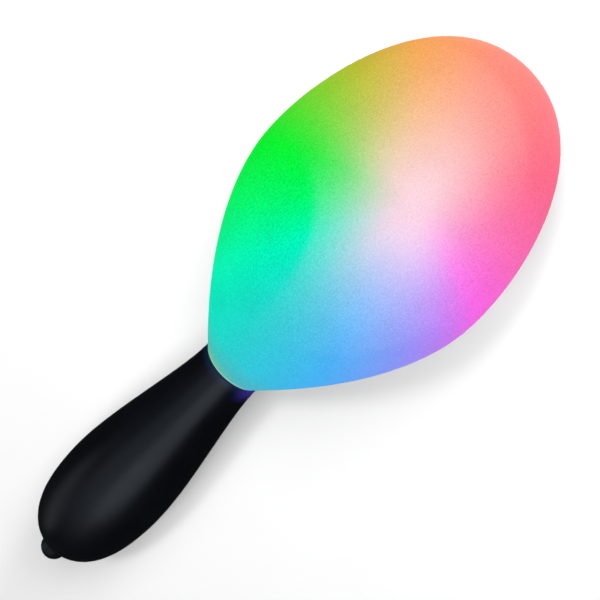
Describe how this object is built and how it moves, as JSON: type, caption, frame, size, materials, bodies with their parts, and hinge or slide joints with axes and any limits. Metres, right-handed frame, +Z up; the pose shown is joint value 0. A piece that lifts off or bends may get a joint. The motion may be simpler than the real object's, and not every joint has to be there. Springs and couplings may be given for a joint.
{
  "type": "light-up maraca",
  "caption": "Light-up maraca: frosted egg-shaped rattle head with loose beads on a black bulb-ended handle with lamps, button and battery door.",
  "frame": {"origin": "bottom centre of the object's box, on the table that the maraca lies on", "axes": "+X in plan from the handle's button to the head's crown, +Z up; the instrument's own axis rises by about 7.9 degrees towards the head, so that head and handle bulb both touch z = 0"},
  "size_m": [0.213, 0.07, 0.0702],
  "materials": {
    "frosted_shell": "frosted, lit from inside in many colours",
    "clear_window": "clear moulded",
    "handle_plastic": "satin moulded black",
    "door_plastic": "satin moulded black",
    "cradle_plastic": "as moulded",
    "button_rubber": "smooth",
    "bead_plastic": "as moulded",
    "screw_steel": "plated",
    "cell_steel": "bright rolled",
    "contact_nickel": "nickel plated",
    "spring_steel": "drawn wire",
    "board_green": "solder mask",
    "chip_black": "moulded",
    "led_red": "clear tinted, lit",
    "led_green": "clear tinted, lit",
    "led_blue": "clear tinted, lit",
    "switch_black": "moulded",
    "plunger_white": "moulded",
    "wire_red": "sleeved",
    "wire_black": "sleeved",
    "wire_yellow": "sleeved",
    "wire_white": "sleeved"
  },
  "bodies": {
    "maraca": {"head_shell": "frosted_shell", "light_window": "clear_window", "handle_front_shell": "handle_plastic", "handle_rear_shell": "handle_plastic", "handle_screw_1": "screw_steel", "handle_screw_2": "screw_steel", "handle_screw_3": "screw_steel", "handle_screw_4": "screw_steel", "battery_cradle": "cradle_plastic", "button_cell_1": "cell_steel", "button_cell_2": "cell_steel", "button_cell_3": "cell_steel", "contact_plate": "contact_nickel", "contact_spring": "contact_nickel", "led_board": "board_green", "switch_board": "board_green", "controller_chip": "chip_black", "led_red": "led_red", "led_green": "led_green", "led_blue": "led_blue", "switch_body": "switch_black", "button_spring": "spring_steel", "wire_positive": "wire_red", "wire_negative": "wire_black", "wire_switch_a": "wire_yellow", "wire_switch_b": "wire_white"},
    "battery_door": {"battery_door": "door_plastic"},
    "door_screw": {"battery_door_screw": "screw_steel"},
    "button": {"button_cap": "button_rubber"},
    "plunger": {"switch_plunger": "plunger_white"},
    "bead_01": {"rattle_bead_01": "bead_plastic"},
    "bead_02": {"rattle_bead_02": "bead_plastic"},
    "bead_03": {"rattle_bead_03": "bead_plastic"},
    "bead_04": {"rattle_bead_04": "bead_plastic"},
    "bead_05": {"rattle_bead_05": "bead_plastic"},
    "bead_06": {"rattle_bead_06": "bead_plastic"},
    "bead_07": {"rattle_bead_07": "bead_plastic"},
    "bead_08": {"rattle_bead_08": "bead_plastic"},
    "bead_09": {"rattle_bead_09": "bead_plastic"},
    "bead_10": {"rattle_bead_10": "bead_plastic"},
    "bead_11": {"rattle_bead_11": "bead_plastic"},
    "bead_12": {"rattle_bead_12": "bead_plastic"}
  },
  "joints": [
    {"name": "button_press", "type": "slide", "parent": "maraca", "child": "button", "axis": [0.9905, 0, 0.1372], "range_m": [0, 0.001], "stiffness_N_per_m": 300, "springref_m": -0.002, "deforming": ["button_spring"]},
    {"name": "plunger_press", "type": "slide", "parent": "maraca", "child": "plunger", "axis": [0.9905, 0, 0.1372], "range_m": [0, 0.001]},
    {"name": "battery_door_lift", "type": "slide", "parent": "maraca", "child": "battery_door", "axis": [0.1372, 0, -0.9905], "range_m": [0, 0.03]},
    {"name": "door_screw_turn", "type": "hinge", "parent": "battery_door", "child": "door_screw", "pos_m": [-0.05392, 0, 0.00534], "axis": [0.1372, 0, -0.9905], "continuous": true},
    {"name": "bead_01_throw", "type": "slide", "parent": "maraca", "child": "bead_01", "axis": [0, 0, 1], "range_m": [0, 0.0595]},
    {"name": "bead_02_throw", "type": "slide", "parent": "maraca", "child": "bead_02", "axis": [0, 0, 1], "range_m": [0, 0.0595]},
    {"name": "bead_03_throw", "type": "slide", "parent": "maraca", "child": "bead_03", "axis": [0, 0, 1], "range_m": [0, 0.06]},
    {"name": "bead_04_throw", "type": "slide", "parent": "maraca", "child": "bead_04", "axis": [0, 0, 1], "range_m": [0, 0.061]},
    {"name": "bead_05_throw", "type": "slide", "parent": "maraca", "child": "bead_05", "axis": [0, 0, 1], "range_m": [0, 0.06]},
    {"name": "bead_06_throw", "type": "slide", "parent": "maraca", "child": "bead_06", "axis": [0, 0, 1], "range_m": [0, 0.0595]},
    {"name": "bead_07_throw", "type": "slide", "parent": "maraca", "child": "bead_07", "axis": [0, 0, 1], "range_m": [0, 0.061]},
    {"name": "bead_08_throw", "type": "slide", "parent": "maraca", "child": "bead_08", "axis": [0, 0, 1], "range_m": [0, 0.061]},
    {"name": "bead_09_throw", "type": "slide", "parent": "maraca", "child": "bead_09", "axis": [0, 0, 1], "range_m": [0, 0.0595]},
    {"name": "bead_10_throw", "type": "slide", "parent": "maraca", "child": "bead_10", "axis": [0, 0, 1], "range_m": [0, 0.06]},
    {"name": "bead_11_throw", "type": "slide", "parent": "maraca", "child": "bead_11", "axis": [0, 0, 1], "range_m": [0, 0.0605]},
    {"name": "bead_12_throw", "type": "slide", "parent": "maraca", "child": "bead_12", "axis": [0, 0, 1], "range_m": [0, 0.06]}
  ],
  "couplings": [
    {"joint": "plunger_press", "follows": "button_press", "ratio": 1}
  ]
}
